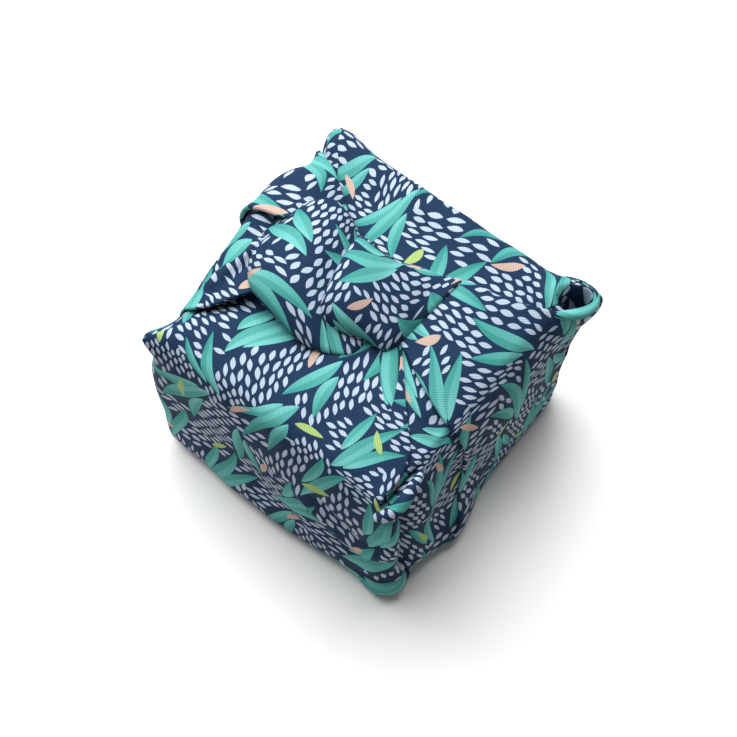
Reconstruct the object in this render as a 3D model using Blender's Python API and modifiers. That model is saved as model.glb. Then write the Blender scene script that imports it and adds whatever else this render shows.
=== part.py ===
"""A furoshiki: one square cloth folded round a box-shaped space and tied on top.

Lengths in the tables are millimetres. The bundle stands on z = 0 with its base centred on the
origin. Its sides are numbered 0 to 3 anticlockwise from the near one (-Y). Places on a side are
given as (across, along): across runs level, along runs from the middle of the underside (minus)
through the foot of the wall (0) up the wall and over the top to the middle.
"""
import math

import bmesh
import bpy
import numpy as np

MM = 0.001

# Driving dimensions.
HALF = 74.5            # half the width of the bundle, outside the cloth
HEIGHT = 103.0         # top of the flat flaps
ROUND = 10.0           # radius of every edge of the bundle
CLOTH = 2.4            # thickness of the one to two layers that make each wall
SHEET = 2.3            # thickness of a flap or tie where it stands clear of them
BED = 1.4              # how deep a flap or tie is let into the cloth it lies on
TOP_PUFF = 2.2         # rise of the flaps towards the middle of the top

# Places across a side, as shares of its half width, and along it, where the base is divided.
ACROSS = (-1.0, -0.95, -0.90, -0.80, -0.62, -0.40, -0.14, 0.14, 0.40, 0.62, 0.80, 0.90, 0.95)
ALONG = (-60.0, -30.0, -10.0, -5.0, 0.0, 5.0, 10.0, 20.0, 34.0, 50.0, 66.0, 80.0, 88.0, 93.0,
         98.0, 103.0, 108.0, 113.0, 121.0, 132.0, 148.0, 164.0)

# Swell of the walls: side, across, along, half width across, half width along, height.
SWELLS = ((0, -5.0, 14.0, 66.0, 22.0, 5.5),
          (0, 30.0, 62.0, 40.0, 30.0, 2.0),
          (1, -27.0, 11.0, 25.0, 22.0, 8.0),
          (1, 20.0, 46.0, 46.0, 40.0, 1.6),
          (2, 8.0, 30.0, 60.0, 34.0, 3.0),
          (3, 0.0, 46.0, 56.0, 40.0, 2.4),
          (3, 66.0, 56.0, 26.0, 40.0, 6.0))

# Ears: folded cloth that stands out at the corners. The tip's reach is from the round corner.
#        name     x   y   z     reach: x    y    z  width length
EARS = (("left", -1, -1, 99.0, (-9.0, -4.5, 6.0), 17.0, 15.0),
        ("front", 1, -1, 4.0, (2.0, -2.5, 0.0), 16.0, 20.0),
        ("right", 1, 1, 99.0, (9.5, 6.0, 5.5), 20.0, 40.0),
        ("back", -1, 1, 99.0, (-8.0, 4.5, 4.0), 21.0, 22.0))

# Main folds of the walls, as soft ridges (height above zero) and troughs (below zero).
#          name              start               end                width height
FOLDS = (("far brim",        (-70.0, 71.0, 99.0), (70.0, 71.0, 99.0), 11.0, 5.5),
         ("pocket lip",      (73.0, -47.0, 101.0), (74.0, -70.0, 99.0), 3.6, 3.0),
         ("corner crease",   (76.0, -61.0, 82.0),  (76.0, -68.0, 20.0), 3.6, -2.2),
         ("gusset pleat",    (76.0, -44.0, 82.0),  (76.0, -56.0, 16.0), 6.0, 1.8))

# Flaps and ties laid over the base: side, then rows of
# along, left edge, lift there, right edge, lift there.
NEAR_FLAP = (0, ((9.0, -66.0, 1.3, 66.0, 1.3),
                 (30.0, -69.0, 1.3, 69.0, 1.3),
                 (60.0, -70.0, 1.3, 70.0, 1.3),
                 (86.0, -71.0, 1.3, 70.0, 1.3),
                 (100.0, -72.0, 1.3, 69.0, 1.3),
                 (110.0, -70.0, 1.3, 68.0, 1.6),
                 (122.0, -67.0, 1.3, 64.5, 1.8),
                 (133.0, -65.0, 1.3, 57.0, 1.8),
                 (154.0, -56.0, 1.3, 39.0, 1.8),
                 (170.0, -44.0, 1.3, 28.0, 1.5),
                 (184.0, -30.0, 1.3, 14.0, 1.3)))
RIGHT_TIE = (1, ((8.0, -34.0, 1.5, 64.0, 1.3),
                 (20.0, -26.0, 1.5, 66.0, 1.3),
                 (48.0, -20.0, 1.3, 66.0, 1.3),
                 (84.0, -17.0, 1.3, 64.0, 1.3),
                 (101.0, -19.0, 1.5, 61.0, 1.5),
                 (113.0, -19.0, 1.8, 57.5, 1.6),
                 (132.0, -13.0, 2.0, 50.0, 1.7),
                 (154.0, -2.0, 2.2, 45.0, 1.8),
                 (172.0, 5.0, 2.9, 34.0, 2.4)))
LEFT_FRONT_TIE = (3, ((9.0, -22.0, 1.3, 63.0, 1.3),
                      (22.0, -22.0, 1.5, 61.0, 1.3),
                      (50.0, -21.0, 2.9, 57.0, 1.5),
                      (84.0, -20.0, 7.6, 52.0, 3.2),
                      (100.0, -19.0, 12.6, 48.0, 6.0),
                      (109.0, -19.0, 14.6, 48.0, 7.5),
                      (117.0, -22.0, 13.8, 44.0, 8.0),
                      (127.0, -26.0, 10.6, 22.0, 8.0),
                      (138.0, -30.0, 7.6, 6.0, 5.0)))
LEFT_BACK_TIE = (3, ((11.5, -65.0, 1.3, -13.0, 2.6),
                     (25.0, -66.0, 1.3, -12.0, 3.0),
                     (54.0, -65.0, 1.6, -11.0, 5.0),
                     (81.5, -63.5, 3.2, -9.5, 9.4),
                     (97.5, -61.5, 6.0, -8.0, 14.6),
                     (106.5, -59.0, 8.5, -8.5, 17.4),
                     (114.5, -54.0, 10.0, -11.0, 17.2),
                     (124.0, -47.5, 8.6, -15.5, 14.2),
                     (135.0, -40.0, 6.4, -21.0, 10.6)))

# Sections of the knot's two lobes: near and far end of each, and its lowest and highest level.
#             name       near x,y         far x,y        low   high
LOBE_LEFT = (("root",  (-62.0, 0.0), (-64.0, 22.0), 103.0, 116.0),
             ("rise",  (-54.0, -16.0), (-60.0, 34.0), 103.0, 123.0),
             ("belly", (-43.0, -24.0), (-50.0, 38.5), 103.0, 127.0),
             ("fall",  (-29.0, -30.5), (-38.0, 36.0), 103.0, 127.0),
             ("end",   (-14.0, -32.0), (-27.0, 31.0), 103.0, 121.0),
             ("under", (-2.0, -28.0), (-14.0, 20.0), 104.0, 113.0))
LOBE_RIGHT = (("lip",   (-19.0, -14.0), (-29.0, 27.0), 105.0, 122.0),
              ("rise",  (-13.0, -17.5), (-24.0, 30.0), 104.0, 127.5),
              ("belly", (-2.0, -17.0), (-14.0, 29.0), 103.0, 128.0),
              ("slope", (10.0, -12.0), (-4.0, 31.0), 103.0, 123.0),
              ("low",   (21.0, -9.0), (6.0, 37.0), 103.0, 117.0),
              ("tail",  (23.5, 8.0), (16.0, 41.0), 103.5, 111.5),
              ("tip",   (25.0, 38.0), (26.0, 47.0), 104.0, 109.0))
LOBE_AROUND = 18
SPLINE_STEPS = 2
SHEET_STEPS = 12

# The mouth of the right-hand ear, the way into the wrap: centre, half length and half width.
MOUTH_CENTRE = (71.8, 70.6)
MOUTH_LONG, MOUTH_SHORT = 11.0, 6.0
MOUTH_TURN = math.radians(41.0)
MOUTH_DEPTH = 20.0

CORE_LOW = np.array([ROUND - HALF, ROUND - HALF, ROUND])
CORE_HIGH = np.array([HALF - ROUND, HALF - ROUND, HEIGHT - ROUND])


def smooth(value):
    """0 below 0, 1 above 1, and an even S between."""
    t = min(max(value, 0.0), 1.0)
    return t * t * (3 - 2 * t)


def turned(point, side):
    """A point of side 0 carried round to another side."""
    x, y, z = point
    return np.array(((x, y, z), (-y, x, z), (-x, -y, z), (y, -x, z))[side], float)


def box_point(side, across, along):
    """A place on a side of the plain sharp-edged box."""
    if along < 0:
        return turned((across, -HALF - along, 0.0), side)
    if along <= HEIGHT:
        return turned((across, -HALF, along), side)
    return turned((across, along - HEIGHT - HALF, HEIGHT), side)


def ear_push(point):
    """How far the ears carry a point outwards at the corners."""
    push = np.zeros(3)
    corner = HALF - 0.3 * ROUND
    for _, sx, sy, level, reach, width, length in EARS:
        offset = point - np.array([sx * corner, sy * corner, level])
        away = math.hypot(*offset[:2], offset[2] * width / length) / width
        push += max(0.0, 1 - away) ** 1.5 * np.array(reach)
    return push


def swell_height(point, out):
    """Outward swell of the walls at a point."""
    total = 0.0
    for side, across, along, wide, high, height in SWELLS:
        local = turned(point, (4 - side) % 4)
        facing = max(0.0, -turned(out, (4 - side) % 4)[1])
        reach = ((local[0] - across) / wide) ** 2 + ((local[2] - along) / high) ** 2
        total += height * facing * math.exp(-1.5 * reach)
    return total


def fold_height(point):
    """Height of the ridges and troughs at a point."""
    total = 0.0
    for _, start, end, width, height in FOLDS:
        a, b = np.array(start), np.array(end)
        t = np.dot(point - a, b - a) / np.dot(b - a, b - a)
        near = a + min(max(t, 0.0), 1.0) * (b - a)
        total += height * math.exp(-np.dot(point - near, point - near) / width ** 2)
    return total


def cloth_point(side, across, along, lift):
    """A place on a side of the bundle, lifted clear of the base by some millimetres."""
    sharp = box_point(side, across, along)
    core = np.clip(sharp, CORE_LOW, CORE_HIGH)
    out = (sharp - core) / np.linalg.norm(sharp - core)
    point = core + ROUND * out
    height = swell_height(point, out) + fold_height(point)
    if out[2] > 0:
        height += TOP_PUFF * out[2] * smooth(2.5 - 2.5 * np.abs(point[:2]).max() / HALF)
    push = ear_push(point) + height * out
    if point[2] < ROUND:
        push[2] = 0.0
    return point + push + lift * out


def mesh_object(name, points, faces):
    """An object from points in millimetres, its faces turned outwards."""
    mesh = bpy.data.meshes.new(name)
    mesh.from_pydata([tuple(np.array(p) * MM) for p in points], [], faces)
    edit = bmesh.new()
    edit.from_mesh(mesh)
    bmesh.ops.recalc_face_normals(edit, faces=edit.faces)
    edit.to_mesh(mesh)
    edit.free()
    made = bpy.data.objects.new(name, mesh)
    bpy.context.scene.collection.objects.link(made)
    return made


def rings_mesh(name, rings):
    """A closed skin through rings of equally many points, with a face over each end."""
    count = len(rings[0])
    faces = [tuple(range(count)), tuple((len(rings) - 1) * count + i for i in range(count))]
    for r in range(len(rings) - 1):
        for i in range(count):
            j = (i + 1) % count
            faces.append((r * count + i, r * count + j, (r + 1) * count + j, (r + 1) * count + i))
    return mesh_object(name, [p for ring in rings for p in ring], faces)


def make_base():
    """The cloth round the box-shaped space: underside, walls and top, as a shell."""
    rings = []
    for along in ALONG:
        reach = HALF + min(along, 0.0) - max(along - HEIGHT, 0.0)
        rings.append([cloth_point(side, share * reach, along, 0.0)
                      for side in range(4) for share in ACROSS])
    base = rings_mesh("base", rings)
    shell = base.modifiers.new("cloth thickness", "SOLIDIFY")
    shell.thickness = CLOTH * MM
    shell.offset = -1
    shell.use_even_offset = False
    return base


def spline(rows, steps):
    """A smooth line of points through the rows, steps to each gap (Catmull-Rom)."""
    knots = [np.array(row, float) for row in rows]
    knots = [2 * knots[0] - knots[1]] + knots + [2 * knots[-1] - knots[-2]]
    line = []
    for a, b, c, d in zip(knots, knots[1:], knots[2:], knots[3:]):
        for i in range(steps):
            t = i / steps
            line.append(b + 0.5 * t * (c - a + t * (2 * a - 5 * b + 4 * c - d
                                                    + t * (3 * (b - c) + d - a))))
    return line + [knots[-2]]


def make_sheet(name, sheet):
    """A flap or tie laid over the base, its long edges rolled down."""
    side, rows = sheet
    shares = [0.5 - 0.5 * math.cos(math.pi * i / SHEET_STEPS) for i in range(SHEET_STEPS + 1)]
    rings = []
    for along, left, left_lift, right, right_lift in spline(rows, SPLINE_STEPS):
        upper, lower = [], []
        for share in shares:
            across = left + (right - left) * share
            lift = left_lift + (right_lift - left_lift) * share
            clear = smooth((lift - 3) / 2)
            under = clear * (lift - SHEET) - (1 - clear) * BED
            rolled = 0.4 * abs(2 * share - 1) ** 8 * (lift - under)
            upper.append(cloth_point(side, across, along, lift - rolled))
            lower.append(cloth_point(side, across, along, under + 0.5 * clear * rolled))
        rings.append(upper + lower[::-1])
    return rings_mesh(name, rings)


def make_lobe(name, sections):
    """A lobe of the knot: a puffed bundle of cloth, closed at both ends."""
    rows = spline([(*near, *far, low, high) for _, near, far, low, high in sections],
                  SPLINE_STEPS)
    rings = []
    for near_x, near_y, far_x, far_y, low, high in rows:
        ring = []
        middle = low + 0.42 * (high - low)
        for i in range(LOBE_AROUND):
            angle = 2 * math.pi * i / LOBE_AROUND
            across, upward = math.cos(angle), math.sin(angle)
            across = math.copysign(abs(across) ** 0.8, across)
            level = middle + upward * ((high - middle) if upward > 0 else (middle - low))
            ring.append(np.array([(near_x + far_x + across * (near_x - far_x)) / 2,
                                  (near_y + far_y + across * (near_y - far_y)) / 2, level]))
        rings.append(ring)
    return rings_mesh(name, rings)


def make_mouth_cutter():
    """An upright oval that opens the roof of the right-hand ear."""
    bpy.ops.mesh.primitive_cylinder_add(vertices=20, radius=MM, depth=MOUTH_DEPTH * MM)
    cutter = bpy.context.object
    cutter.name = "mouth cutter"
    cutter.scale = (MOUTH_LONG, MOUTH_SHORT, 1)
    cutter.rotation_euler = (0, 0, MOUTH_TURN)
    cutter.location = [v * MM for v in (*MOUTH_CENTRE, HEIGHT)]
    return cutter


def boolean(target, tool, operation):
    """Cuts or joins the target with a tool, which then isn't shown itself."""
    modifier = target.modifiers.new(tool.name, "BOOLEAN")
    modifier.operation = operation
    modifier.object = tool
    tool.hide_render = True
    tool.display_type = "WIRE"


def cloth_material():
    """Navy printed cloth, matt."""
    material = bpy.data.materials.new("printed cloth")
    material.use_nodes = True
    shader = material.node_tree.nodes["Principled BSDF"]
    shader.inputs["Base Color"].default_value = (0.045, 0.09, 0.16, 1)
    shader.inputs["Roughness"].default_value = 0.8
    shader.inputs["Metallic"].default_value = 0.0
    return material


def collect(name, objects):
    """Puts the objects in a collection of their own."""
    collection = bpy.data.collections.new(name)
    bpy.context.scene.collection.children.link(collection)
    for item in objects:
        for old in item.users_collection:
            old.objects.unlink(item)
        collection.objects.link(item)


def main():
    for old in list(bpy.data.objects):
        bpy.data.objects.remove(old)
    cloth = make_base()
    cloth.name = "furoshiki_cloth"
    cutter = make_mouth_cutter()
    joined = [make_sheet("near flap", NEAR_FLAP),
              make_sheet("right tie", RIGHT_TIE),
              make_sheet("left tie, front", LEFT_FRONT_TIE),
              make_sheet("left tie, back", LEFT_BACK_TIE),
              make_lobe("left lobe", LOBE_LEFT),
              make_lobe("right lobe", LOBE_RIGHT)]
    boolean(cloth, cutter, "DIFFERENCE")
    for piece in joined:
        boolean(cloth, piece, "UNION")
    cloth.data.materials.append(cloth_material())
    collect("furoshiki", [cloth])
    collect("cutters and joined pieces", [cutter] + joined)


main()
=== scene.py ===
"""The looks of the furoshiki wrap: folded printed cloth, a plain pale floor, soft light, a camera.

Lengths in the tables are millimetres, in the frame's axes. The sides of the bundle are numbered
0 to 3 anticlockwise from the near one (-Y). Places on a side are (across, along): across runs
level, along runs from the underside (minus) through the foot of the wall (0) up the wall and over
the top. An across beyond the half width turns the corner on to the next side.
"""
import math

import bmesh
import bpy
import numpy as np
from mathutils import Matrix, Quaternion, Vector


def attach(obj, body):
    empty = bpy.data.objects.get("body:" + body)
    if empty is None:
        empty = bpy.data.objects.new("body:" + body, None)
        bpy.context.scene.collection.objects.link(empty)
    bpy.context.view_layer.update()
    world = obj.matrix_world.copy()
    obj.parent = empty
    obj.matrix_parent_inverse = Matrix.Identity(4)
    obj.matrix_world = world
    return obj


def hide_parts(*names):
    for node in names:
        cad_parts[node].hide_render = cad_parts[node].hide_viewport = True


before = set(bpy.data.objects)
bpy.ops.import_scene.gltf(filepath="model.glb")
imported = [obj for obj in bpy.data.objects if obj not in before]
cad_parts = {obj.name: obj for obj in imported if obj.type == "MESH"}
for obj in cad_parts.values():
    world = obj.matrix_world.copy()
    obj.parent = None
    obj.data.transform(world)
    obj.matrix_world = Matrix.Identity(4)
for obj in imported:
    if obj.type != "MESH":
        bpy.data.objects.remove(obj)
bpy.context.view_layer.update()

MM = 0.001
HALF = 74.5            # half the width of the bundle, outside the cloth
HEIGHT = 103.0         # top of the flat flaps
ROUND = 10.0           # radius of every edge of the bundle
TOP_PUFF = 2.2         # rise of the flaps towards the middle of the top
PUFF_SLOPE = 2.5       # how quickly that rise dies away towards the edges of the top
WAVE = 0.16            # height of each of the three waves that make the cloth uneven
WAVES_FROM = 12.0      # level by which the waves have their full height

STEP = 1.85            # spacing of the mesh's rows and columns
BRIM = 14.0            # width of the part of the top, next to its edge, with closer rows
BRIM_STEP = 0.9        # spacing of the rows there
BASE_COLUMNS = 89      # points across each side of the base
EVEN_SHARE = 0.6       # how evenly they are spaced: below 1 they crowd towards the corners
UNDER_ROWS = (-74.4, -58.0, -42.0, -28.0, -18.0, -11.0, -7.0, -3.5)   # along, on the underside
MIDDLE_GAP = 0.1       # how far the rows of the top stop short of its middle
WELD = 0.02            # points of the mesh closer than this become one

HEM = 9.0              # width of the hem folded back under each long edge
HEM_ROUND = (0.3, 1.3)           # least and greatest radius of that fold
HEM_GAP = 0.15                   # gap between the hem and the cloth below it
HEM_TURN, HEM_STRIPS = 9, 6      # points round the fold and across the hem

# Swell of the walls: side, across, along, half width across, half width along, height.
SWELLS = ((0, -5.0, 14.0, 66.0, 22.0, 5.5),
          (0, 30.0, 62.0, 40.0, 30.0, 2.0),
          (1, -27.0, 11.0, 25.0, 22.0, 8.0),
          (1, 20.0, 46.0, 46.0, 40.0, 1.6),
          (2, 8.0, 30.0, 60.0, 34.0, 3.0),
          (3, 0.0, 46.0, 56.0, 40.0, 2.4),
          (3, 66.0, 56.0, 26.0, 40.0, 6.0))

# Ears: folded cloth that stands out at the corners. The tip's reach is from the round corner.
#        name    x   y  level  reach:  x     y    z   width length
EARS = (("left", -1, -1, 99.0, (-9.0, -4.5, 6.0), 17.0, 15.0),
        ("front", 1, -1, 4.0, (2.0, -2.5, 0.0), 16.0, 20.0),
        ("right", 1, 1, 99.0, (9.5, 6.0, 5.5), 20.0, 40.0),
        ("back", -1, 1, 99.0, (-8.0, 4.5, 4.0), 21.0, 22.0))

# Folds, as soft ridges (height above zero) and troughs (below zero) along a line of points.
# layer "all" moves every layer of cloth there together, "under" only the base and the near flap,
# and a name moves that layer alone.
#          layer  width height  points
FOLDS = (("all",       11.0, 5.5, ((-70, 71, 99), (70, 71, 99))),
         ("all",       17.0, -4.0, ((-56, -74.5, 103), (48, -74.5, 103))),
         ("all",       15.0, -3.0, ((74.5, -22, 103), (74.5, 46, 103))),
         ("near flap", 4.0, 3.6, ((73, -73, 88), (75, -72, 70), (76, -72, 44), (77, -74, 24))),
         ("base",      2.6, -9.0, ((75, -59, 90), (76, -60, 82), (77, -61, 50), (77, -62, 22))),
         ("all",       5.0, -4.0, ((76, -61, 90), (77, -62, 70), (77, -63, 48), (77, -65, 26))),
         ("all",       24.0, -4.5, ((76, -56, 103), (76, 22, 103))),
         ("all",       5.0, 3.0, ((62, -78, 8), (74, -78, 8), (78, -70, 8))),
         ("all",       2.6, -4.5, ((58, -80, 20), (70, -80, 17), (78, -70, 18))),
         ("all",       6.0, 2.6, ((76, -45, 84), (77, -48, 50), (77, -51, 16))),
         ("all",       5.5, 3.4, ((22, -77, 66), (44, -78, 46), (60, -78, 44), (72, -77, 56))),
         ("all",       5.0, 3.4, ((14, -79, 40), (38, -80, 26), (58, -79, 24), (72, -78, 34))),
         ("all",       3.2, -4.4, ((26, -78, 50), (46, -79, 35), (60, -79, 33), (72, -78, 44))),
         ("all",       3.2, -3.6, ((34, -77, 70), (50, -78, 58), (62, -78, 57), (72, -77, 68))),
         ("all",       12.0, 4.0, ((77, 77, 84), (77, 77, 60))),
         ("base",      2.4, -8.0, ((69.0, -47, 103), (68.5, -54, 103), (68.3, -61, 102.5),
                                   (68.0, -67, 101.5), (67.0, -70.5, 100), (65.5, -73, 97))),
         ("base",      2.2, -6.0, ((69.0, -48, 103), (68.5, -55, 103), (68.3, -62, 102.5))),
         ("base",      4.0, -1.8, ((60, -22, 103), (78, -24, 60))),
         ("under",     8.0, -4.5, ((-66, -40, 103), (-54, -30, 103), (-44, -24, 103))),
         ("left tie front", 2.2, -3.4, ((-73, -36, 102), (-68, -8, 103), (-62, 18, 103))),
         ("left tie front", 2.2, 2.5, ((-69.5, -36, 103), (-64.5, -10, 103), (-59, 16, 103))),
         ("left tie front", 2.2, -3.0, ((-66, -36, 103), (-61, -12, 103), (-56, 12, 103))),
         ("left tie back", 12.0, 4.5, ((-76, 33, 96), (-74, 37, 103), (-62, 40, 103))),
         ("near flap", 1.6, -0.8, ((16, -12, 104), (42, -40, 104))))

# Flaps and ties laid over the base: name, side, then rows of
# along, left edge, lift there, right edge, lift there.
NEAR_FLAP = ("near flap", 0,
             ((-14.0, -60.0, -0.4, 60.0, -0.4),
              (0.0, -76.0, 0.4, 72.0, 0.6),
              (9.0, -79.0, 1.3, 81.0, 1.3),
              (30.0, -80.5, 1.3, 84.0, 1.3),
              (60.0, -80.5, 1.3, 85.0, 1.3),
              (80.0, -79.5, 1.3, 85.0, 1.3),
              (86.0, -78.0, 1.3, 84.0, 1.2),
              (91.0, -76.5, 1.3, 78.0, 1.1),
              (95.0, -75.0, 1.3, 69.5, 1.3),
              (98.5, -73.5, 1.3, 65.0, 1.8),
              (102.0, -72.3, 1.3, 64.2, 2.3),
              (106.0, -71.3, 1.3, 64.2, 2.6),
              (112.0, -69.6, 1.3, 64.6, 2.6),
              (122.0, -67.0, 1.3, 64.4, 2.4),
              (133.0, -65.0, 1.3, 61.5, 2.0),
              (154.0, -56.0, 1.3, 43.0, 1.8),
              (170.0, -44.0, 1.3, 29.0, 1.5),
              (184.0, -30.0, 1.3, 16.0, 1.3)))
RIGHT_TIE = ("right tie", 1,
             ((-12.0, -38.0, -0.4, 58.0, -0.4),
              (0.0, -38.0, 0.6, 62.0, 0.6),
              (8.0, -34.0, 1.5, 64.0, 1.3),
              (20.0, -26.0, 1.5, 66.0, 1.3),
              (48.0, -20.0, 2.0, 66.0, 1.3),
              (84.0, -17.0, 2.8, 64.0, 1.3),
              (101.0, -19.0, 3.2, 61.0, 1.5),
              (113.0, -19.0, 3.2, 57.5, 2.2),
              (132.0, -13.0, 2.8, 50.0, 2.6),
              (154.0, -2.0, 2.6, 45.0, 2.6),
              (172.0, 5.0, 2.9, 34.0, 2.4)))
FAR_FLAP = ("far flap", 2,
            ((-14.0, -60.0, -0.4, 60.0, -0.4),
             (0.0, -72.0, 0.6, 74.0, 0.6),
             (10.0, -78.0, 1.2, 79.0, 1.2),
             (40.0, -80.0, 1.2, 80.5, 1.2),
             (70.0, -79.0, 1.2, 80.0, 1.2),
             (88.0, -74.0, 1.2, 77.0, 1.2),
             (97.0, -68.0, 1.2, 73.0, 1.2),
             (104.0, -64.5, 1.2, 70.0, 1.2),
             (110.0, -64.5, 1.1, 68.0, 1.1),
             (116.0, -66.0, 1.0, 65.0, 1.0),
             (126.0, -60.0, 0.9, 60.0, 0.8),
             (146.0, -40.0, 0.6, 48.0, 0.5)))
LEFT_FRONT_TIE = ("left tie front", 3,
                  ((-12.0, -22.0, -0.4, 60.0, -0.4),
                   (9.0, -22.0, 1.3, 63.0, 1.3),
                   (22.0, -22.0, 1.5, 61.0, 1.3),
                   (50.0, -21.0, 2.9, 57.0, 1.5),
                   (84.0, -20.0, 7.6, 52.0, 1.5),
                   (100.0, -19.0, 12.6, 49.0, 1.7),
                   (109.0, -19.0, 14.6, 48.0, 2.6),
                   (117.0, -22.0, 13.0, 41.0, 4.6),
                   (127.0, -26.0, 9.0, 27.0, 6.2),
                   (138.0, -30.0, 6.0, 14.0, 6.0)))
LEFT_BACK_TIE = ("left tie back", 3,
                 ((-12.0, -62.0, -0.4, -12.0, -0.4),
                  (0.0, -64.0, 0.8, -13.0, 1.6),
                  (11.5, -65.0, 1.3, -13.0, 2.6),
                  (25.0, -66.0, 1.3, -12.0, 3.0),
                  (54.0, -65.0, 1.6, -11.0, 5.0),
                  (81.5, -63.5, 3.2, -9.5, 9.4),
                  (97.5, -61.5, 4.2, -8.0, 14.6),
                  (106.5, -59.0, 5.6, -8.5, 17.4),
                  (114.5, -54.0, 7.6, -11.0, 17.2),
                  (124.0, -47.5, 7.4, -15.5, 14.2),
                  (135.0, -40.0, 6.4, -21.0, 10.6)))

# Sections of the knot's lobes: near and far end of each, and its lowest and highest level.
#             name       near x,y         far x,y        low   high
LOBE_LEFT = (("root",  (-69.0, -12.0), (-70.0, 16.0), 103.0, 113.0),
             ("rise",  (-58.0, -22.0), (-61.0, 32.0), 103.0, 121.0),
             ("belly", (-45.0, -27.0), (-50.0, 38.5), 103.0, 126.5),
             ("fall",  (-29.0, -30.5), (-38.0, 36.0), 103.0, 127.0),
             ("end",   (-14.0, -32.0), (-27.0, 31.0), 103.0, 121.0),
             ("under", (-2.0, -28.0), (-14.0, 20.0), 104.0, 113.0),
             ("nib",   (12.0, -18.0), (4.0, 8.0), 104.0, 109.0))
LOBE_RIGHT = (("lip",   (-19.0, -14.0), (-29.0, 27.0), 105.0, 122.0),
              ("rise",  (-13.0, -17.5), (-24.0, 30.0), 104.0, 127.5),
              ("belly", (-2.0, -17.0), (-14.0, 29.0), 103.0, 128.0),
              ("slope", (10.0, -12.0), (-4.0, 31.0), 103.0, 123.0),
              ("low",   (21.0, -9.0), (6.0, 37.0), 103.0, 117.0),
              ("tail",  (23.5, 8.0), (16.0, 41.0), 103.5, 111.5),
              ("tip",   (25.0, 38.0), (26.0, 47.0), 104.0, 109.0))
LOBE_ROWS, LOBE_AROUND = 90, 72     # points along and round a lobe
LOBE_WAIST = 0.42                   # level of a lobe's widest place, as a share of its height
LOBE_SQUARE = 0.8                   # power that squares its section: 1 is an ellipse
LOBE_CAP_LEAST = 0.0004             # square of the share that the closed ends keep
# Length of the rounding at the first and at the last end of each lobe.
LEFT_CAPS, RIGHT_CAPS = (20.0, 6.0), (4.0, 6.0)

# Rolled edges of cloth: name, height over width, then rows of x, y, z, half width.
ROLL_STEP, ROLL_AROUND = 0.9, 25    # spacing of the rows, and points round a roll
ROLL_UP = (0.17, -0.1, 1.0)         # the way a roll's upper side faces
CORNER_LIP = ("corner lip", 1.0,
              ((69.6, -45.0, 98.8, 0.9),
               (70.6, -50.0, 100.2, 2.2),
               (71.6, -56.5, 99.8, 3.1),
               (72.0, -62.5, 98.6, 3.4),
               (71.0, -68.0, 96.6, 3.4),
               (68.6, -71.8, 94.4, 3.2),
               (65.8, -73.2, 91.4, 2.6),
               (64.8, -70.5, 87.5, 1.4)))
FOOT_NUB = ("foot nub", 1.35,
            ((49.0, -70.0, 11.0, 2.0),
             (58.5, -73.2, 10.4, 4.6),
             (67.0, -74.2, 10.0, 5.6),
             (73.4, -70.4, 10.0, 5.2),
             (75.6, -60.0, 11.0, 2.2)))
KNOT_BAND = ("knot band", 0.5,
             ((12.0, 4.0, 103.5, 3.4),
              (20.0, -6.0, 105.6, 5.0),
              (29.0, -18.0, 106.2, 4.6),
              (37.5, -29.0, 105.6, 3.2),
              (44.5, -40.0, 104.4, 1.0)))
MOUTH_LIP = ("mouth lip", 1.0,
             ((66.0, 57.0, 102.0, 0.8),
              (71.5, 60.0, 104.0, 1.8),
              (77.5, 64.0, 105.0, 2.8),
              (82.0, 69.5, 106.0, 2.7),
              (83.0, 75.0, 107.0, 1.9),
              (79.5, 79.5, 107.2, 1.3),
              (73.0, 81.0, 106.4, 1.1),
              (65.0, 80.0, 104.8, 0.9),
              (58.0, 78.0, 102.0, 0.6)))

# The mouth of the right-hand ear.
MOUTH_CENTRE = np.array((74.0, 71.0))
MOUTH_LONG, MOUTH_SHORT = 10.0, 6.5      # half length and half width
MOUTH_TURN = math.radians(41.0)
MOUTH_DEPTH, MOUTH_RIM = 26.0, 1.0       # depth of the hole and height of its rim
MOUTH_WALL = 0.55                        # width of the hole's sloping wall, as a share
RIM_PLACE, RIM_WIDTH = 1.25, 0.3         # where the rim is and how wide, as shares
MOUTH_FROM, MOUTH_BLEND = 88.0, 10.0     # level at which the mouth starts to act, and over what

# Where each part of the cloth lies on the flat print. Each has a place of its own, so that no
# two of them show the same sprays.
BASE_PRINT = (37.0, 211.0)               # the way from one side of the base to the next
PRINT = {"near flap": (12.0, 60.0),
         "far flap": (2100.0, 60.0),
         "right tie": (330.0, 20.0),
         "left tie front": (610.0, -40.0),
         "left tie back": (890.0, 130.0),
         "left lobe": (1100.0, 15.0),
         "right lobe": (1400.0, 90.0),
         "corner lip": (1700.0, 40.0),
         "foot nub": (1699.0, 133.0),
         "knot band": (1700.4, 125.0),
         "mouth lip": (1656.5, 100.0)}
PRINT_TURNED = ("left tie front",)       # parts whose print is turned a quarter

CORE_LOW = np.array([ROUND - HALF, ROUND - HALF, ROUND])
CORE_HIGH = np.array([HALF - ROUND, HALF - ROUND, HEIGHT - ROUND])


def smooth(value):
    """0 below 0, 1 above 1, and an even S between."""
    t = np.clip(value, 0.0, 1.0)
    return t * t * (3 - 2 * t)


def turned(points, side):
    """Points of side 0 carried round to another side."""
    x, y, z = points[..., 0], points[..., 1], points[..., 2]
    return np.stack(((x, y, z), (-y, x, z), (-x, -y, z), (y, -x, z))[side], -1)


def box_point(side, across, along):
    """Places on a side of the plain sharp-edged box."""
    inner = np.clip(across, -HALF, HALF)
    over = np.abs(across - inner)
    y = np.where(along < 0, -HALF - along,
                 np.where(along > HEIGHT, along - HEIGHT - HALF, -HALF + over))
    z = np.where(along < 0, over, np.where(along > HEIGHT, HEIGHT - over, along))
    return turned(np.stack((inner, y, z), -1), side)


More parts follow.
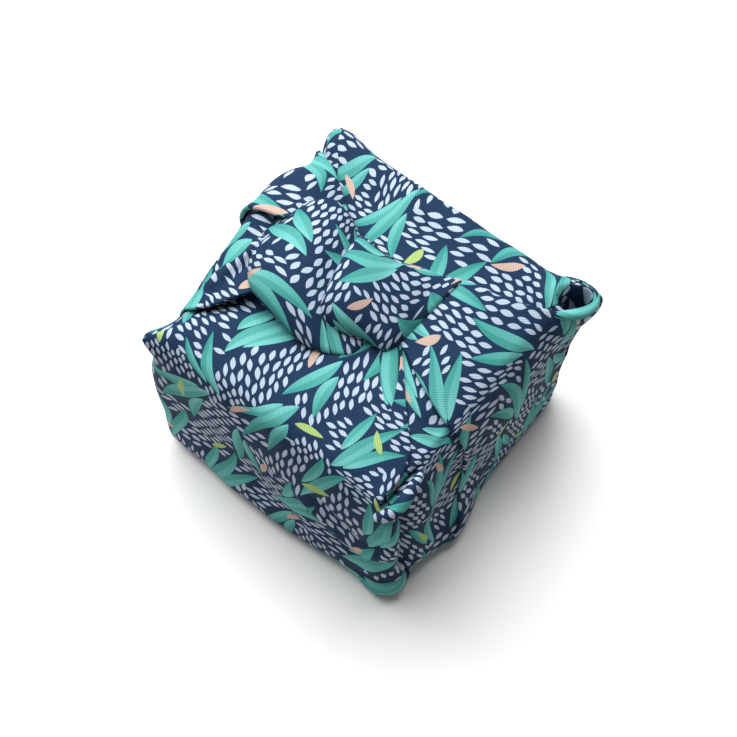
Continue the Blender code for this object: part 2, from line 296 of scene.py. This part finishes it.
def ear_push(points):
    """How far the ears carry points outwards at the corners."""
    push = np.zeros_like(points)
    corner = HALF - 0.3 * ROUND    # about where the round corner lies
    for _, sx, sy, level, reach, width, length in EARS:
        offset = points - np.array([sx * corner, sy * corner, level])
        offset[..., 2] *= width / length
        away = np.linalg.norm(offset, axis=-1) / width
        push += (np.clip(1 - away, 0, 1) ** 1.5)[..., None] * np.array(reach)
    return push


def swell_height(points, out):
    """Outward swell of the walls."""
    total = np.zeros(points.shape[:-1])
    for side, across, along, wide, high, height in SWELLS:
        local = turned(points, (4 - side) % 4)
        facing = np.clip(-turned(out, (4 - side) % 4)[..., 1], 0, None)
        away = ((local[..., 0] - across) / wide) ** 2 + ((local[..., 2] - along) / high) ** 2
        total += height * facing * np.exp(-1.5 * away)
    return total


def line_distance(points, line):
    """How far points lie from a line of straight stretches."""
    nearest = np.full(points.shape[:-1], np.inf)
    corners = np.array(line, float)
    for a, b in zip(corners, corners[1:]):
        t = np.clip((points - a) @ (b - a) / ((b - a) @ (b - a)), 0, 1)
        nearest = np.minimum(nearest, np.linalg.norm(points - a - t[..., None] * (b - a), axis=-1))
    return nearest


def fold_height(points, layer):
    """Height of the ridges and troughs for one layer of cloth."""
    moved_by = ("all", layer, "under" if layer in ("base", "near flap") else layer)
    total = np.zeros(points.shape[:-1])
    for name, width, height, line in FOLDS:
        if name in moved_by:
            total += height * np.exp(-(line_distance(points, line) / width) ** 2)
    return total


def unevenness(points):
    """The slight waviness of cloth that nothing holds quite flat."""
    x, y, z = points[..., 0], points[..., 1], points[..., 2]
    wave = np.sin(0.21 * x + 0.9 + 0.8 * np.sin(0.13 * z + 0.07 * y))
    wave += np.sin(0.19 * y + 0.11 * z + 2.1 + 0.9 * np.sin(0.12 * x))
    wave += np.sin(0.24 * z + 0.16 * x - 0.13 * y)
    return WAVE * wave


def mouth_push(points):
    """How far the mouth of the right-hand ear lowers or raises points."""
    offset = points[..., :2] - MOUTH_CENTRE
    c, s = math.cos(MOUTH_TURN), math.sin(MOUTH_TURN)
    away = np.hypot((offset @ (c, s)) / MOUTH_LONG, (offset @ (-s, c)) / MOUTH_SHORT)
    hole = -MOUTH_DEPTH * smooth((1.0 - away) / MOUTH_WALL)
    rim = MOUTH_RIM * np.exp(-((away - RIM_PLACE) / RIM_WIDTH) ** 2)
    return (hole + rim) * smooth((points[..., 2] - MOUTH_FROM) / MOUTH_BLEND)


def cloth_point(side, across, along, lift, layer):
    """Places on a side of the bundle, lifted clear of the base. A layer's name picks its folds."""
    sharp = box_point(side, across, along)
    core = np.clip(sharp, CORE_LOW, CORE_HIGH)
    out = sharp - core
    out /= np.linalg.norm(out, axis=-1)[..., None]
    point = core + ROUND * out
    height = swell_height(point, out) + fold_height(point, layer)
    height += unevenness(point) * smooth(point[..., 2] / WAVES_FROM)
    edge = np.abs(point[..., :2]).max(-1) / HALF
    height += TOP_PUFF * np.clip(out[..., 2], 0, None) * smooth(PUFF_SLOPE - PUFF_SLOPE * edge)
    push = ear_push(point) + height[..., None] * out
    push[..., 2] = np.where(point[..., 2] < ROUND, 0.0, push[..., 2])
    placed = point + push + np.asarray(lift)[..., None] * out
    placed[..., 2] += mouth_push(placed)
    return placed


class Cloth:
    """Gathers grids of points, with their places on the flat cloth, into one mesh."""

    def __init__(self):
        self.points, self.faces, self.flat = [], [], []
        self.count = 0

    def grid(self, points, flat, shift):
        """Adds a grid of points, and its places on the flat cloth moved by shift."""
        rows, columns = points.shape[:2]
        index = self.count + np.arange(rows * columns).reshape(rows, columns)
        corners = (index[:-1, :-1], index[:-1, 1:], index[1:, 1:], index[1:, :-1])
        quads = np.stack(corners, -1).reshape(-1, 4)
        flat = flat + np.array(shift)
        places = (flat[:-1, :-1], flat[:-1, 1:], flat[1:, 1:], flat[1:, :-1])
        self.points.append(points.reshape(-1, 3))
        self.faces.append(quads)
        self.flat.append(np.stack(places, -2).reshape(-1, 4, 2))
        self.count += rows * columns

    def build(self, name):
        """The gathered grids as one object, its UV map in flat-cloth millimetres."""
        mesh = bpy.data.meshes.new(name)
        points = np.concatenate(self.points) * MM
        faces = np.concatenate(self.faces)
        mesh.from_pydata(points.tolist(), [], faces.tolist())
        layer = mesh.uv_layers.new(name="cloth")
        layer.uv.foreach_set("vector", np.concatenate(self.flat).astype(np.float32).ravel())
        edit = bmesh.new()
        edit.from_mesh(mesh)
        bmesh.ops.remove_doubles(edit, verts=edit.verts, dist=WELD * MM)
        edit.to_mesh(mesh)
        edit.free()
        mesh.polygons.foreach_set("use_smooth", [True] * len(mesh.polygons))
        made = bpy.data.objects.new(name, mesh)
        bpy.context.scene.collection.objects.link(made)
        return made


def spaced(first, last, step):
    """Evenly spaced numbers from first to last, about a step apart."""
    return np.linspace(first, last, max(2, int(round(abs(last - first) / step)) + 1))


def through(rows, places):
    """Smooth values of a table's columns at places along its first column."""
    table = np.array(rows, float)
    t, v = table[:, 0], table[:, 1:]
    slope = np.gradient(v, t, axis=0)
    i = np.clip(np.searchsorted(t, places) - 1, 0, len(t) - 2)
    gap = (t[i + 1] - t[i])[:, None]
    s = (places - t[i])[:, None] / gap
    start, end = v[i], v[i + 1]
    return (start * (1 + 2 * s) * (1 - s) ** 2 + gap * slope[i] * s * (1 - s) ** 2
            + end * s * s * (3 - 2 * s) + gap * slope[i + 1] * s * s * (s - 1))


def add_base(cloth):
    """The cloth round the box-shaped space: underside, walls and top. The print runs on over the
    near, far and left parts of the top, and up the right wall on to the right part."""
    t = np.linspace(-1, 1, BASE_COLUMNS)
    share = EVEN_SHARE * t + (1 - EVEN_SHARE) * np.sin(0.5 * math.pi * t)
    wall = np.concatenate((UNDER_ROWS, spaced(0, HEIGHT, STEP)))
    top = np.concatenate((spaced(HEIGHT, HEIGHT + BRIM, BRIM_STEP)[:-1],
                          spaced(HEIGHT + BRIM, HEIGHT + HALF - MIDDLE_GAP, STEP)))
    for side in range(4):
        for part, along in (("wall", wall), ("top", top)):
            reach = HALF + np.minimum(along, 0) - np.maximum(along - HEIGHT, 0)
            across = share * reach[:, None]
            along = np.broadcast_to(along[:, None], across.shape)
            points = cloth_point(side, across, along, np.zeros_like(across), "base")
            flat = np.stack((across, along), -1)
            place = side
            if part == "top" and side != 1:
                sharp = box_point(side, across, along)
                flat = np.stack((-sharp[..., 0], HEIGHT + HALF - sharp[..., 1]), -1)
                place = 2
            cloth.grid(points, flat, (BASE_PRINT[0] * place, BASE_PRINT[1] * place))


def add_sheet(cloth, sheet):
    """A flap or tie laid over the base, with a hem folded under along each long edge."""
    name, side, rows = sheet
    along = spaced(rows[0][0], rows[-1][0], STEP)
    table = through(rows, along)
    left, left_lift, right, right_lift = (table[:, i:i + 1] for i in range(4))
    widest = (right - left).max()
    share = np.linspace(0, 1, int(widest / STEP) + 1)[None, :]
    turn = np.linspace(0, math.pi, HEM_TURN)[None, 1:-1]
    strip = np.linspace(0, 1, HEM_STRIPS)[None, 1:]

    def radius(lift):
        """Radius of the folded edge at a lift."""
        return np.clip(0.5 * (lift - HEM_GAP), *HEM_ROUND)

    def edge(place, lift, inward):
        """Places and lifts round the folded edge and across the hem below."""
        r = radius(lift)
        roll = place + inward * r - inward * r * np.sin(turn)
        roll_lift = lift - r + r * np.cos(turn)
        back = place + inward * (r + HEM * strip)
        back_lift = lift - 2 * r + 0 * strip
        return np.concatenate((roll, back), 1), np.concatenate((roll_lift, back_lift), 1)

    inner_left, inner_right = left + radius(left_lift), right - radius(right_lift)
    across = inner_left + (inner_right - inner_left) * share
    lift = left_lift + (right_lift - left_lift) * share
    near, near_lift = edge(left, left_lift, 1.0)
    far, far_lift = edge(right, right_lift, -1.0)
    across_all = np.concatenate((near[:, ::-1], across, far), 1)
    lift_all = np.concatenate((near_lift[:, ::-1], lift, far_lift), 1)
    along_all = np.broadcast_to(along[:, None], across_all.shape)
    points = cloth_point(side, across_all, along_all, lift_all, name)
    run = np.cumsum(np.linalg.norm(np.diff(points, axis=1, prepend=points[:, :1]), axis=-1), 1)
    middle = points.shape[1] // 2
    u = run - run[:, middle, None] + across_all[:, middle, None]
    flat = (along_all, -u) if name in PRINT_TURNED else (u, along_all)
    cloth.grid(points, np.stack(flat, -1), PRINT[name])


def add_lobe(cloth, name, sections, caps, pleat):
    """A lobe of the knot: a puffed bundle of cloth, rounded off at both ends."""
    rows = [(i, *near, *far, low, high) for i, (_, near, far, low, high) in enumerate(sections)]
    places = np.linspace(0, len(rows) - 1, LOBE_ROWS)
    table = through(rows, places)
    near, far, low, high = table[:, None, 0:2], table[:, None, 2:4], table[:, 4:5], table[:, 5:6]
    middle = 0.5 * (near + far)
    length = np.concatenate(([0], np.cumsum(np.linalg.norm(np.diff(middle[:, 0], axis=0),
                                                           axis=1))))[:, None]
    cap = np.minimum(length / caps[0], (length[-1] - length) / caps[1])
    cap = np.sqrt(np.clip(1 - (1 - np.clip(cap, 0, 1)) ** 2, LOBE_CAP_LEAST, 1))
    angle = np.linspace(0, 2 * math.pi, LOBE_AROUND, endpoint=False)[None, :]
    across, upward = np.cos(angle), np.sin(angle)
    across = np.copysign(np.abs(across) ** LOBE_SQUARE, across)
    waist = low + LOBE_WAIST * (high - low)
    half = np.where(upward > 0, high - waist, waist - low)
    level = waist + cap * upward * half
    level += pleat(length / length[-1], angle)
    flat_xy = middle + 0.5 * (across * cap)[..., None] * (near - far)
    points = np.concatenate((flat_xy, level[..., None]), -1)
    closed = np.concatenate((points, points[:, :1]), 1)
    top = LOBE_AROUND // 4
    u = np.cumsum(np.linalg.norm(np.diff(closed, axis=1, prepend=closed[:, :1]), axis=-1), 1)
    v = np.cumsum(np.linalg.norm(np.diff(closed[:, top], axis=0, prepend=closed[:1, top]),
                                 axis=-1))
    flat = np.stack((u - u[:, top:top + 1], np.broadcast_to(v[:, None], u.shape)), -1)
    cloth.grid(closed, flat, PRINT[name])


def add_roll(cloth, roll):
    """A rolled edge of cloth: a tapering tube along a line of points."""
    name, flatness, rows = roll
    line = np.array(rows, float)
    gaps = np.linalg.norm(np.diff(line[:, :3], axis=0), axis=1)
    length = np.concatenate(([0], np.cumsum(gaps)))
    places = spaced(0, length[-1], ROLL_STEP)
    table = through([(t, *row) for t, row in zip(length, rows)], places)
    middle, radius = table[:, :3], table[:, 3:4]
    ahead = np.gradient(middle, axis=0)
    ahead /= np.linalg.norm(ahead, axis=1)[:, None]
    level = np.cross(ahead, ROLL_UP)
    level /= np.linalg.norm(level, axis=1)[:, None]
    upward = np.cross(level, ahead)
    angle = np.linspace(-math.pi, math.pi, ROLL_AROUND)
    points = (middle[:, None] + (radius * np.cos(angle))[..., None] * level[:, None]
              + (radius * flatness * np.sin(angle))[..., None] * upward[:, None])
    flat = np.stack((radius * angle, np.broadcast_to(places[:, None], points.shape[:2])), -1)
    cloth.grid(points, flat, PRINT[name])


def left_pleat(t, angle):
    """Fine gathers near the crest of the left lobe, and where it rises from the tie."""
    crest = 0.35 * np.sin(9 * angle + 14 * t) * smooth((t - 0.35) / 0.25)
    root = 0.45 * np.sin(17 * angle - 9 * t) * smooth((0.34 - t) / 0.2) * smooth(t / 0.06)
    return (crest + root) * np.sin(angle).clip(0)


def right_pleat(t, angle):
    """Gathers along the far edge of the right lobe."""
    window = np.exp(-((angle - 2.6) / 0.5) ** 2) * smooth(t / 0.15) * smooth((0.8 - t) / 0.4)
    return 0.5 * np.sin(16 * angle) * window


def make_cloth():
    """The whole folded cloth as one piece."""
    cloth = Cloth()
    add_base(cloth)
    for sheet in (NEAR_FLAP, FAR_FLAP, RIGHT_TIE, LEFT_FRONT_TIE, LEFT_BACK_TIE):
        add_sheet(cloth, sheet)
    add_lobe(cloth, "left lobe", LOBE_LEFT, LEFT_CAPS, left_pleat)
    add_lobe(cloth, "right lobe", LOBE_RIGHT, RIGHT_CAPS, right_pleat)
    for roll in (CORNER_LIP, FOOT_NUB, KNOT_BAND, MOUTH_LIP):
        add_roll(cloth, roll)
    return cloth.build("furoshiki_wrap")


PRINT_EDGE = 0.18                        # width of a printed edge
WARP_SIZE, WARP = 58.0, 24.0             # the rows of the print bend: over what, and by how much
LEAF_TURN, SPRAY_TURN = 0.5, 0.9         # turn of the leaves' lattices, and of the leaves in them
SPRAY_SPREAD, ACCENT_SPREAD = 1.5, 2.4   # range of the leaves' random turns
SPRAY_FLIPS = 0.6                        # sprays above this random number point the other way
LEAF_POWER = 0.85                        # how full a leaf is: a higher power makes longer points
LEAF_BUTT, LEAF_TAPER = 1.18, 0.36       # width at a leaf's foot, and how much its tip loses
LEAF_RIDGE, LEAF_SHADE = 0.8, 0.55       # softness of a leaf's middle line, strength of its shade
NO_ACCENT, NO_LEAF = 0.75, 9.0           # accents above this random number count as so far away
LIME_SHARE = 0.62                        # accents above this random number are lime, not peach
FLECK_LONG, FLECK_HALF = 3.15, 1.17      # half length and half width of a fleck
LONG_VARY, HALF_VARY = 0.4, 0.25         # range of the random change of each
FLECK_SLIP = (0.7, 0.6)                  # range of its random shift, across and along
FLECK_TILT = 0.45                        # range of its random turn
COLUMN_SLIP = 0.3                        # random shift of a column of flecks, in flecks
FLECK_CLEAR = -1.5                       # a fleck's middle keeps this far outside the leaves
PATCH_SIZE, PATCH_GAP = 42.0, 0.014      # size of the patches of flecks, and the gap between them
RIB_PITCH, THREAD_PITCH = 1.1, 0.55      # spacing of the weave's ribs and cross threads
BLOTCH_SIZE, BLOTCH_DETAIL = 9.0, 3.0    # the ink's and the surface's slight unevenness
WARP_SEED, BLOTCH_SEED, PATCH_SEED = 2.0, 4.0, 5.0
RIB_DARK, RIB_LIGHT = (0.84, 0.84, 0.84, 1), (1.08, 1.08, 1.08, 1)
NAVY_BLOTCH, PALE_BLOTCH = 0.6, 0.8      # how much the ink's second shade shows
ROUGH_LEAST, ROUGH_RANGE = 0.66, 0.16    # roughness of the cloth
THREAD_HEIGHT, BLOTCH_HEIGHT = 0.15, 0.8  # heights in the bump, beside a rib's 1
BUMP_STRENGTH, BUMP_DISTANCE = 0.5, 0.0001
SHEEN, SHEEN_ROUGHNESS, SHEEN_TINT = 0.05, 0.35, (0.6, 0.8, 1.0, 1.0)
SPECULAR = 0.05


class Num:
    """A number worked out by shader nodes, so that plain sums build Math nodes."""

    def __init__(self, net, socket):
        self.net, self.socket = net, socket

    def __add__(self, other):
        return self.net.math("ADD", self, other)

    def __radd__(self, other):
        return self.net.math("ADD", other, self)

    def __sub__(self, other):
        return self.net.math("SUBTRACT", self, other)

    def __rsub__(self, other):
        return self.net.math("SUBTRACT", other, self)

    def __mul__(self, other):
        return self.net.math("MULTIPLY", self, other)

    def __rmul__(self, other):
        return self.net.math("MULTIPLY", other, self)

    def __truediv__(self, other):
        return self.net.math("DIVIDE", self, other)


class Net:
    """Builds shader nodes from plain sums."""

    def __init__(self, tree):
        self.tree = tree

    def add(self, kind, **settings):
        """A new node with some settings."""
        node = self.tree.nodes.new(kind)
        for key, value in settings.items():
            setattr(node, key, value)
        return node

    def put(self, socket, value):
        """Links a node's output to a socket, or sets the socket to a plain value."""
        if isinstance(value, Num):
            value = value.socket
        if isinstance(value, bpy.types.NodeSocket):
            self.tree.links.new(value, socket)
        else:
            socket.default_value = value

    def math(self, operation, *values, clamp=False):
        """The result of one Math node."""
        node = self.add("ShaderNodeMath", operation=operation, use_clamp=clamp)
        for socket, value in zip(node.inputs, values):
            self.put(socket, value)
        return Num(self, node.outputs[0])

    def pair(self, x, y, z=0.0):
        """A vector made of two or three numbers."""
        node = self.add("ShaderNodeCombineXYZ")
        for socket, value in zip(node.inputs, (x, y, z)):
            self.put(socket, value)
        return node.outputs[0]

    def split(self, vector):
        """The three numbers of a vector or a colour."""
        node = self.add("ShaderNodeSeparateXYZ")
        self.put(node.inputs[0], vector)
        return [Num(self, out) for out in node.outputs]

    def hashed(self, x, y, seed):
        """Three random numbers from 0 to 1 for whole numbers x and y."""
        node = self.add("ShaderNodeTexWhiteNoise", noise_dimensions="3D")
        self.put(node.inputs["Vector"], self.pair(x, y, seed))
        return self.split(node.outputs["Color"])

    def noise(self, x, y, size, seed, detail=0.0):
        """Three smooth random numbers about 0.5 that change over a size in millimetres."""
        node = self.add("ShaderNodeTexNoise", noise_dimensions="3D")
        self.put(node.inputs["Vector"], self.pair(x / size, y / size, seed))
        node.inputs["Scale"].default_value = 1.0
        node.inputs["Detail"].default_value = detail
        return self.split(node.outputs["Color"])

    def spin(self, x, y, angle):
        """x and y in axes turned by an angle, which is a number or a Num."""
        if isinstance(angle, Num):
            c, s = self.math("COSINE", angle), self.math("SINE", angle)
        else:
            c, s = math.cos(angle), math.sin(angle)
        return c * x + s * y, c * y - s * x

    def mix(self, factor, low, high):
        """A colour from low to high."""
        node = self.add("ShaderNodeMix", data_type="RGBA")
        for socket, value in zip((node.inputs[0], node.inputs[6], node.inputs[7]),
                                 (factor, low, high)):
            self.put(socket, value)
        return node.outputs[2]

    def step(self, value, soft=PRINT_EDGE):
        """0 where value is below zero and 1 above, with a soft edge."""
        return self.math("MULTIPLY_ADD", value, 1 / soft, 0.5, clamp=True)


def srgb(code):
    """A colour from its six-figure screen code."""
    parts = [int(code[i:i + 2], 16) / 255 for i in (0, 2, 4)]
    return (*[p / 12.92 if p <= 0.04045 else ((p + 0.055) / 1.055) ** 2.4 for p in parts], 1)


NAVY, NAVY_DEEP = srgb("22354E"), srgb("18263A")
PALE, PALE_COOL = srgb("B3B9C5"), srgb("A2ABBA")
MINT, TEAL, DEEP_TEAL = srgb("74B5AC"), srgb("3B8D83"), srgb("256A62")
PEACH, LIME = srgb("BC9C8C"), srgb("9DB068")

# Sprays of leaves on a square lattice: pitch, offset x, offset y, seed, then blades of
# start x, start y, turn, length, half width, bow.
SPRAYS = ((55.0, 0.0, 0.0, 3.0, ((-17.0, -4.0, -0.30, 36.0, 3.5, 1.5),
                                 (-24.0, 0.0, 0.04, 47.0, 4.0, -1.5),
                                 (-13.0, 4.5, 0.38, 29.0, 3.1, -1.5))),
          (55.0, 27.5, 27.5, 8.0, ((-18.0, -1.5, -0.12, 36.0, 3.5, 1.5),
                                   (-12.0, 3.5, 0.26, 27.0, 3.0, -1.0))))
# Single small leaves: pitch, offset x, offset y, seed, blade.
ACCENT = (39.0, 9.0, 4.0, 15.0, (-7.5, 0.0, 0.0, 15.0, 2.0, 0.8))
# Flecks: turn of their rows, pitch across, pitch along, seed, side of the patch noise.
FLECKS = ((0.35, 3.6, 7.3, 21.0, 1.0), (1.65, 3.6, 7.3, 27.0, -1.0))


def blade(net, x, y, shape):
    """How far inside a lance-shaped leaf a place is, its place along it, and its side."""
    start_x, start_y, turn, length, half, bow = shape
    u, v = net.spin(x - start_x, y - start_y, turn)
    share = net.math("DIVIDE", u, length, clamp=True)
    over = u - share * length
    bulge = share * (1.0 - share)
    side = v - bulge * (4.0 * bow)
    wide = net.math("POWER", bulge * 4.0, LEAF_POWER) * half * (LEAF_BUTT - LEAF_TAPER * share)
    away = net.math("SQRT", side * side + over * over)
    return wide - away, share, side


def lattice(net, x, y, pitch, shift_x, shift_y, seed):
    """Local coordinates and three random numbers of the lattice cell that holds a place."""
    cx, cy = (x - shift_x) / pitch, (y - shift_y) / pitch
    col, row = net.math("FLOOR", cx), net.math("FLOOR", cy)
    random = net.hashed(col, row, seed)
    return (cx - col - 0.5) * pitch, (cy - row - 0.5) * pitch, random


def leaf_group():
    """A node group: a place on the printed cloth gives how far inside the leaves it is, and
    the colour of the leaf there."""
    group = bpy.data.node_groups.new("leaves", "ShaderNodeTree")
    group.interface.new_socket("Place", in_out="INPUT", socket_type="NodeSocketVector")
    group.interface.new_socket("Inside", in_out="OUTPUT", socket_type="NodeSocketFloat")
    group.interface.new_socket("Color", in_out="OUTPUT", socket_type="NodeSocketColor")
    net = Net(group)
    place_x, place_y, _ = net.split(net.add("NodeGroupInput").outputs[0])
    place_x, place_y = net.spin(place_x, place_y, LEAF_TURN)
    best, colour = None, None
    for pitch, shift_x, shift_y, seed, blades in SPRAYS:
        x, y, (r1, r2, r3) = lattice(net, place_x, place_y, pitch, shift_x, shift_y, seed)
        flip = net.math("GREATER_THAN", r3, SPRAY_FLIPS) * math.pi
        x, y = net.spin(x, y, (r1 - 0.5) * SPRAY_SPREAD + flip + SPRAY_TURN)
        for shape in blades:
            inside, share, side = blade(net, x, y, shape)
            half = net.step(side, LEAF_RIDGE)
            tone = net.mix(share * 0.9 + 0.1 * r2, MINT, TEAL)
            dark = net.mix(share * 0.8 + 0.2 * r2, TEAL, DEEP_TEAL)
            shade = net.mix(half * LEAF_SHADE, tone, dark)
            if best is None:
                best, colour = inside, shade
                continue
            over = net.math("GREATER_THAN", inside, best)
            colour = net.mix(over, colour, shade)
            best = net.math("MAXIMUM", best, inside)
    pitch, shift_x, shift_y, seed, shape = ACCENT
    x, y, (r1, r2, r3) = lattice(net, place_x, place_y, pitch, shift_x, shift_y, seed)
    x, y = net.spin(x, y, (r1 - 0.5) * ACCENT_SPREAD + SPRAY_TURN)
    inside, _, _ = blade(net, x, y, shape)
    inside = inside - net.math("GREATER_THAN", r3, NO_ACCENT) * NO_LEAF
    shade = net.mix(net.math("GREATER_THAN", r2, LIME_SHARE), PEACH, LIME)
    over = net.math("GREATER_THAN", inside, 0.0)
    colour = net.mix(over, colour, shade)
    best = net.math("MAXIMUM", best, inside)
    out = net.add("NodeGroupOutput")
    net.put(out.inputs["Inside"], best)
    net.put(out.inputs["Color"], colour)
    return group


def flecks(net, x, y, spec, leaves):
    """1 inside the flecks of one patch of rows and 0 outside. Flecks whose middle is near a leaf
    or outside the patch are left out whole."""
    turn, pitch_x, pitch_y, seed, patch = spec
    qx, qy = net.spin(x, y, turn)
    cx = qx / pitch_x
    col = net.math("FLOOR", cx)
    slip = net.hashed(col, 0.0, seed)[0] * COLUMN_SLIP
    phase = slip + net.math("FLOORED_MODULO", col, 2.0) * 0.5
    cy = qy / pitch_y + phase
    row = net.math("FLOOR", cy)
    r1, r2, r3 = net.hashed(col, row, seed + 1)
    mid_x = (col + 0.5) * pitch_x + (r1 - 0.5) * FLECK_SLIP[0]
    mid_y = (row + 0.5 - phase) * pitch_y + (r2 - 0.5) * FLECK_SLIP[1]
    u, v = net.spin(qy - mid_y, qx - mid_x, (r3 - 0.5) * FLECK_TILT)
    long = FLECK_LONG + (r1 - 0.5) * LONG_VARY
    share = u / long
    wide = FLECK_HALF + (r2 - 0.5) * HALF_VARY
    inside = (1.0 - share * share) * wide - net.math("ABSOLUTE", v)
    place_x, place_y = net.spin(mid_x, mid_y, -turn)
    near = net.add("ShaderNodeGroup", node_tree=leaves)
    net.put(near.inputs[0], net.pair(place_x, place_y))
    clear = net.math("LESS_THAN", near.outputs["Inside"], FLECK_CLEAR)
    region = net.noise(place_x, place_y, PATCH_SIZE, PATCH_SEED)[0]
    clear = clear * net.math("GREATER_THAN", (region - 0.5) * patch, PATCH_GAP)
    return net.step(inside) * clear


def cloth_material():
    """Cotton with a generic print: pale flecks and plain leaf sprays on navy, and a fine rib."""
    material = bpy.data.materials.new("printed cotton")
    material.use_nodes = True
    net = Net(material.node_tree)
    shader = material.node_tree.nodes["Principled BSDF"]
    flat_x, flat_y, _ = net.split(net.add("ShaderNodeUVMap", uv_map="cloth").outputs[0])
    bias_x, bias_y = net.spin(flat_x, flat_y, math.pi / 4)
    bend = net.noise(flat_x, flat_y, WARP_SIZE, WARP_SEED)
    x = flat_x + (bend[0] - 0.5) * WARP
    y = flat_y + (bend[1] - 0.5) * WARP
    leaves = leaf_group()
    here = net.add("ShaderNodeGroup", node_tree=leaves)
    net.put(here.inputs[0], net.pair(x, y))
    leaf = net.step(Num(net, here.outputs["Inside"]))
    pale = None
    for spec in FLECKS:
        found = flecks(net, x, y, spec, leaves)
        pale = found if pale is None else net.math("MAXIMUM", pale, found)
    patchy = net.noise(flat_x, flat_y, BLOTCH_SIZE, BLOTCH_SEED, BLOTCH_DETAIL)
    rib = net.math("SINE", bias_x * (2 * math.pi / RIB_PITCH)) * 0.5 + 0.5
    ground = net.mix(patchy[0] * NAVY_BLOTCH, NAVY, NAVY_DEEP)
    fleck = net.mix(patchy[1] * PALE_BLOTCH, PALE, PALE_COOL)
    colour = net.mix(pale, ground, fleck)
    colour = net.mix(leaf, colour, here.outputs["Color"])
    woven = net.mix(1.0, colour, net.mix(rib, RIB_DARK, RIB_LIGHT))
    woven.node.blend_type = "MULTIPLY"
    net.put(shader.inputs["Base Color"], woven)
    net.put(shader.inputs["Roughness"], patchy[2] * ROUGH_RANGE + ROUGH_LEAST)
    shader.inputs["Sheen Weight"].default_value = SHEEN
    shader.inputs["Sheen Roughness"].default_value = SHEEN_ROUGHNESS
    shader.inputs["Sheen Tint"].default_value = SHEEN_TINT
    shader.inputs["Specular IOR Level"].default_value = SPECULAR
    bump = net.add("ShaderNodeBump")
    bump.inputs["Strength"].default_value = BUMP_STRENGTH
    bump.inputs["Distance"].default_value = BUMP_DISTANCE
    thread = net.math("SINE", bias_y * (2 * math.pi / THREAD_PITCH)) * THREAD_HEIGHT
    net.put(bump.inputs["Height"], rib + thread + patchy[0] * BLOTCH_HEIGHT)
    net.put(shader.inputs["Normal"], bump.outputs[0])
    return material


# The studio, in metres and watts. The lens and the sensor are in millimetres.
FLOOR_RADIUS, FLOOR_COLOUR, FLOOR_ROUGHNESS = 0.5, (0.92, 0.835, 0.795, 1), 0.9
SKY_COLOUR, SKY_STRENGTH = (0.86, 0.93, 1, 1), 0.2
WHITE = (1, 1, 1, 1)
LAMP_PLACE, LAMP_SIZE = (-0.53, 0.28, 1.16), 1.5
LAMP_POWER, LAMP_COLOUR = 46.5, (0.86, 0.945, 1.0)
LAMP_AIM = (0, 0, 0.05)
CAMERA_AZIMUTH, CAMERA_ELEVATION = math.radians(37.8), math.radians(62.6)
CAMERA_DISTANCE, CAMERA_AIM = 0.870, Vector((0.0009, 0.0019, 0.050))
CAMERA_ROLL, CAMERA_LENS, CAMERA_SENSOR = math.radians(0.7), 83.04, 36.0


def make_floor():
    """A plain white round floor."""
    bpy.ops.mesh.primitive_circle_add(vertices=96, radius=FLOOR_RADIUS, fill_type="NGON")
    floor = bpy.context.object
    floor.name = "floor"
    material = bpy.data.materials.new("white floor")
    material.use_nodes = True
    shader = material.node_tree.nodes["Principled BSDF"]
    shader.inputs["Base Color"].default_value = FLOOR_COLOUR
    shader.inputs["Roughness"].default_value = FLOOR_ROUGHNESS
    shader.inputs["Specular IOR Level"].default_value = 0.0
    floor.data.materials.append(material)


def aimed(position, target):
    """The rotation that looks from a position to a target."""
    return (Vector(target) - Vector(position)).to_track_quat("-Z", "Y")


def make_lamp():
    """One large soft square lamp, at the upper left of the view, that faces the object."""
    data = bpy.data.lights.new("softbox", "AREA")
    data.size = LAMP_SIZE
    data.energy = LAMP_POWER
    data.color = LAMP_COLOUR
    lamp = bpy.data.objects.new("softbox", data)
    lamp.location = LAMP_PLACE
    lamp.rotation_mode = "QUATERNION"
    lamp.rotation_quaternion = aimed(LAMP_PLACE, LAMP_AIM)
    bpy.context.scene.collection.objects.link(lamp)


def make_surroundings():
    """Surroundings that light the object dimly and look white to the camera."""
    world = bpy.data.worlds.new("surroundings")
    bpy.context.scene.world = world
    world.use_nodes = True
    net = Net(world.node_tree)
    sky = world.node_tree.nodes["Background"]
    seen = net.add("ShaderNodeLightPath").outputs["Is Camera Ray"]
    net.put(sky.inputs["Color"], net.mix(seen, SKY_COLOUR, WHITE))
    net.put(sky.inputs["Strength"], Num(net, seen) * (1 - SKY_STRENGTH) + SKY_STRENGTH)


def make_camera():
    """The camera, high above the near right-hand corner of the bundle."""
    level = math.cos(CAMERA_ELEVATION)
    away = Vector((math.sin(CAMERA_AZIMUTH) * level, -math.cos(CAMERA_AZIMUTH) * level,
                   math.sin(CAMERA_ELEVATION)))
    data = bpy.data.cameras.new("camera")
    data.sensor_width = CAMERA_SENSOR
    data.lens = CAMERA_LENS
    camera = bpy.data.objects.new("camera", data)
    camera.location = CAMERA_AIM + CAMERA_DISTANCE * away
    camera.rotation_mode = "QUATERNION"
    roll = Quaternion((0, 0, 1), CAMERA_ROLL)
    camera.rotation_quaternion = aimed(camera.location, CAMERA_AIM) @ roll
    bpy.context.scene.collection.objects.link(camera)
    bpy.context.scene.camera = camera


make_camera()
make_surroundings()
make_lamp()
make_floor()
wrap = make_cloth()
wrap.data.materials.append(cloth_material())
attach(wrap, "root")
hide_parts("furoshiki_cloth")
bpy.context.scene.view_settings.view_transform = "Standard"
